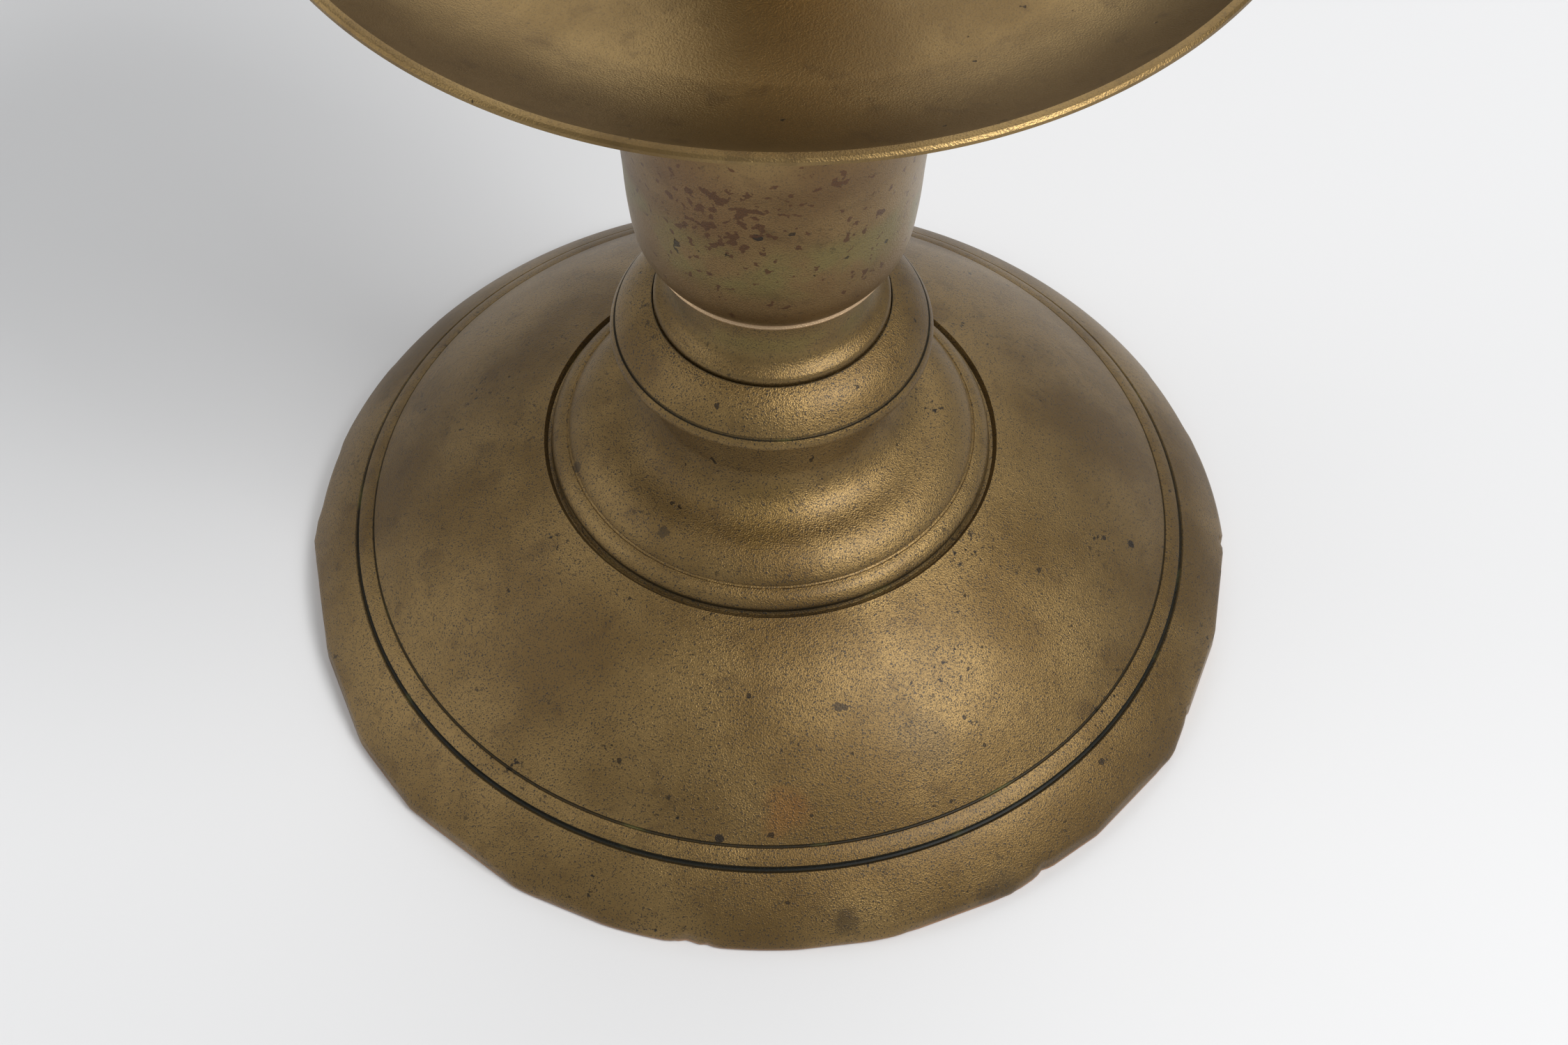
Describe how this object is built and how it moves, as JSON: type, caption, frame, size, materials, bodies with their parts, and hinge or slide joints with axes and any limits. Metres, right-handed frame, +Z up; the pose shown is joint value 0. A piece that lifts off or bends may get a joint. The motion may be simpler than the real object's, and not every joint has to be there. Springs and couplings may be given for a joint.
{
  "type": "candlestick",
  "caption": "Brass candlestick with a domed foot, a collar disc, a vase-shaped knop, a wide drip pan and a lipped candle socket, drawn together on an iron rod.",
  "frame": {"origin": "centre of the foot's resting face", "axes": "+Z up along the candlestick's axis, +X across one flank of the socket, +Y through the socket's windows"},
  "size_m": [0.16, 0.16, 0.2998],
  "materials": {
    "foot_brass": "aged cast brass, olive brown with a fine dark grain",
    "collar_brass": "dark tarnished brass",
    "knop_brass": "smooth aged brass with greenish patina",
    "pan_brass": "aged brass with a lighter worn rim",
    "stem_brass": "aged turned brass",
    "iron": "dark forged iron"
  },
  "bodies": {
    "root": {"foot": "foot_brass", "neck_collar": "collar_brass", "knop": "knop_brass", "drip_pan": "pan_brass", "upper_stem": "stem_brass", "candle_socket": "stem_brass", "tie_rod": "iron", "washer": "iron", "nut": "iron"}
  },
  "joints": []
}
